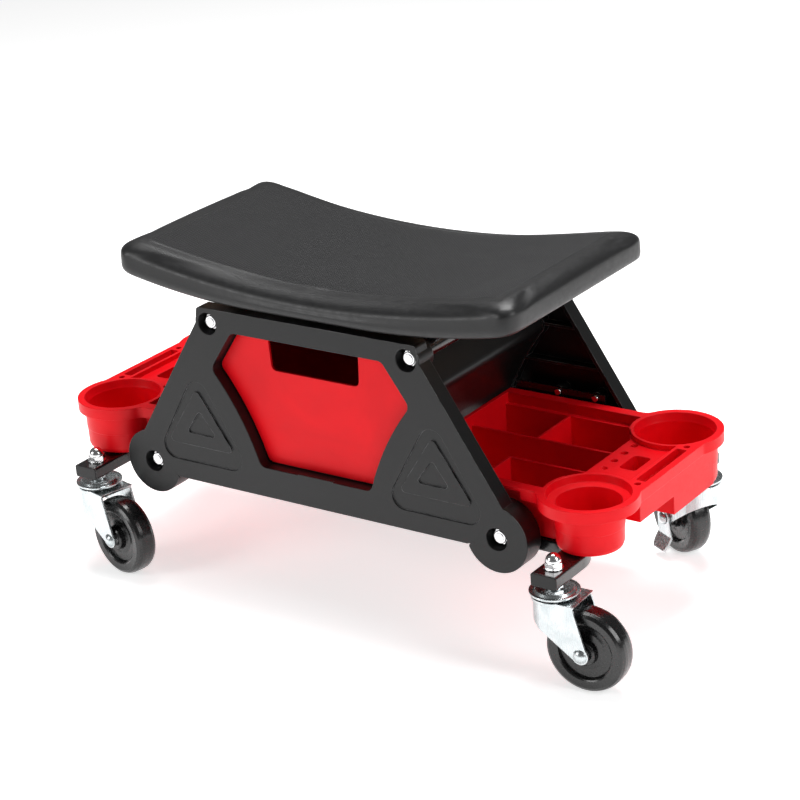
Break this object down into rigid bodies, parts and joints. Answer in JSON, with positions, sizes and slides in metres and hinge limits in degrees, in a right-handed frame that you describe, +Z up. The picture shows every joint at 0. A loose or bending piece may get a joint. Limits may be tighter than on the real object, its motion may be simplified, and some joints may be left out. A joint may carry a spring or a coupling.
{
  "type": "mechanic's creeper seat",
  "caption": "Low rolling mechanic's seat: curved padded top on two side panels, pull-out drawer between them, a tool tray with cup holders at each end, swivel castors.",
  "frame": {"origin": "on the floor, midway between the four castor stems", "axes": "+X along the seat, +Z up, -Y towards the side that the drawer opens on"},
  "size_m": [0.6444, 0.3246, 0.3242],
  "materials": {
    "black_plastic": "satin moulded polypropylene",
    "red_plastic": "smooth satin moulded plastic",
    "seat_skin": "grained black vinyl",
    "seat_board": "bare plywood",
    "black_steel": "gloss black powder coat",
    "zinc_steel": "bright zinc plate",
    "bright_steel": "bright plated",
    "wheel_black": "satin hard plastic"
  },
  "bodies": {
    "frame": {"acorn_nuts": "bright_steel", "bracket_bolts": "bright_steel", "castor_stem_front_left": "zinc_steel", "castor_stem_front_right": "zinc_steel", "castor_stem_rear_left": "zinc_steel", "castor_stem_rear_right": "zinc_steel", "cross_member_left": "black_steel", "cross_member_right": "black_steel", "cross_tube_left": "black_steel", "cross_tube_right": "black_steel", "drawer_sleeve": "black_plastic", "frame_tube_front": "black_steel", "frame_tube_rear": "black_steel", "lock_nuts": "bright_steel", "panel_brackets": "black_steel", "panel_washers": "bright_steel", "rail_screws": "bright_steel", "seat_base": "seat_board", "seat_bracket_left": "black_steel", "seat_bracket_right": "black_steel", "seat_pad": "seat_skin", "seat_screws": "bright_steel", "side_panel_front": "black_plastic", "side_panel_rear": "black_plastic", "stem_nuts": "bright_steel", "tie_rods": "bright_steel", "tray_rail_left_front": "black_steel", "tray_rail_left_rear": "black_steel", "tray_rail_right_front": "black_steel", "tray_rail_right_rear": "black_steel", "tube_end_plugs": "black_plastic"},
    "drawer": {"drawer": "red_plastic"},
    "tray_left": {"tool_tray_left": "red_plastic"},
    "tray_right": {"tool_tray_right": "red_plastic"},
    "swivel_front_right": {"castor_fork_front_right": "zinc_steel", "castor_axle_front_right": "zinc_steel", "swivel_balls_front_right": "bright_steel"},
    "wheel_set_front_right": {"wheel_front_right": "wheel_black", "wheel_bush_front_right": "bright_steel"},
    "swivel_front_left": {"castor_fork_front_left": "zinc_steel", "castor_axle_front_left": "zinc_steel", "swivel_balls_front_left": "bright_steel"},
    "wheel_set_front_left": {"wheel_front_left": "wheel_black", "wheel_bush_front_left": "bright_steel"},
    "swivel_rear_right": {"castor_fork_rear_right": "zinc_steel", "castor_axle_rear_right": "zinc_steel", "swivel_balls_rear_right": "bright_steel"},
    "wheel_set_rear_right": {"wheel_rear_right": "wheel_black", "wheel_bush_rear_right": "bright_steel"},
    "brake_rear_right": {"brake_lever_rear_right": "zinc_steel"},
    "swivel_rear_left": {"castor_fork_rear_left": "zinc_steel", "castor_axle_rear_left": "zinc_steel", "swivel_balls_rear_left": "bright_steel"},
    "wheel_set_rear_left": {"wheel_rear_left": "wheel_black", "wheel_bush_rear_left": "bright_steel"},
    "brake_rear_left": {"brake_lever_rear_left": "zinc_steel"}
  },
  "joints": [
    {"name": "drawer_slide", "type": "slide", "parent": "frame", "child": "drawer", "axis": [0, -1, 0], "range_m": [0, 0.17]},
    {"name": "tray_left_slide", "type": "slide", "parent": "frame", "child": "tray_left", "axis": [-1, 0, 0], "range_m": [0, 0.09]},
    {"name": "tray_right_slide", "type": "slide", "parent": "frame", "child": "tray_right", "axis": [1, 0, 0], "range_m": [0, 0.09]},
    {"name": "swivel_front_right", "type": "hinge", "parent": "frame", "child": "swivel_front_right", "pos_m": [0.2536, -0.128, 0.082], "axis": [0, 0, 1], "continuous": true},
    {"name": "roll_front_right", "type": "hinge", "parent": "swivel_front_right", "child": "wheel_set_front_right", "pos_m": [0.28457, -0.12659, 0.0375], "axis": [-0.0454, 0.999, 0], "continuous": true},
    {"name": "swivel_front_left", "type": "hinge", "parent": "frame", "child": "swivel_front_left", "pos_m": [-0.2536, -0.128, 0.082], "axis": [0, 0, 1], "continuous": true},
    {"name": "roll_front_left", "type": "hinge", "parent": "swivel_front_left", "child": "wheel_set_front_left", "pos_m": [-0.2233, -0.13455, 0.0375], "axis": [0.2113, 0.9774, 0], "continuous": true},
    {"name": "swivel_rear_right", "type": "hinge", "parent": "frame", "child": "swivel_rear_right", "pos_m": [0.2536, 0.128, 0.082], "axis": [0, 0, 1], "continuous": true},
    {"name": "roll_rear_right", "type": "hinge", "parent": "swivel_rear_right", "child": "wheel_set_rear_right", "pos_m": [0.22657, 0.14317, 0.0375], "axis": [-0.4894, -0.8721, 0], "continuous": true},
    {"name": "brake_rear_right", "type": "hinge", "parent": "swivel_rear_right", "child": "brake_rear_right", "pos_m": [0.22657, 0.14317, 0.0375], "axis": [-0.4894, -0.8721, 0], "range_deg": [0, 20]},
    {"name": "swivel_rear_left", "type": "hinge", "parent": "frame", "child": "swivel_rear_left", "pos_m": [-0.2536, 0.128, 0.082], "axis": [0, 0, 1], "continuous": true},
    {"name": "roll_rear_left", "type": "hinge", "parent": "swivel_rear_left", "child": "wheel_set_rear_left", "pos_m": [-0.28456, 0.12962, 0.0375], "axis": [-0.0523, -0.9986, 0], "continuous": true},
    {"name": "brake_rear_left", "type": "hinge", "parent": "swivel_rear_left", "child": "brake_rear_left", "pos_m": [-0.28456, 0.12962, 0.0375], "axis": [-0.0523, -0.9986, 0], "range_deg": [0, 20]}
  ]
}
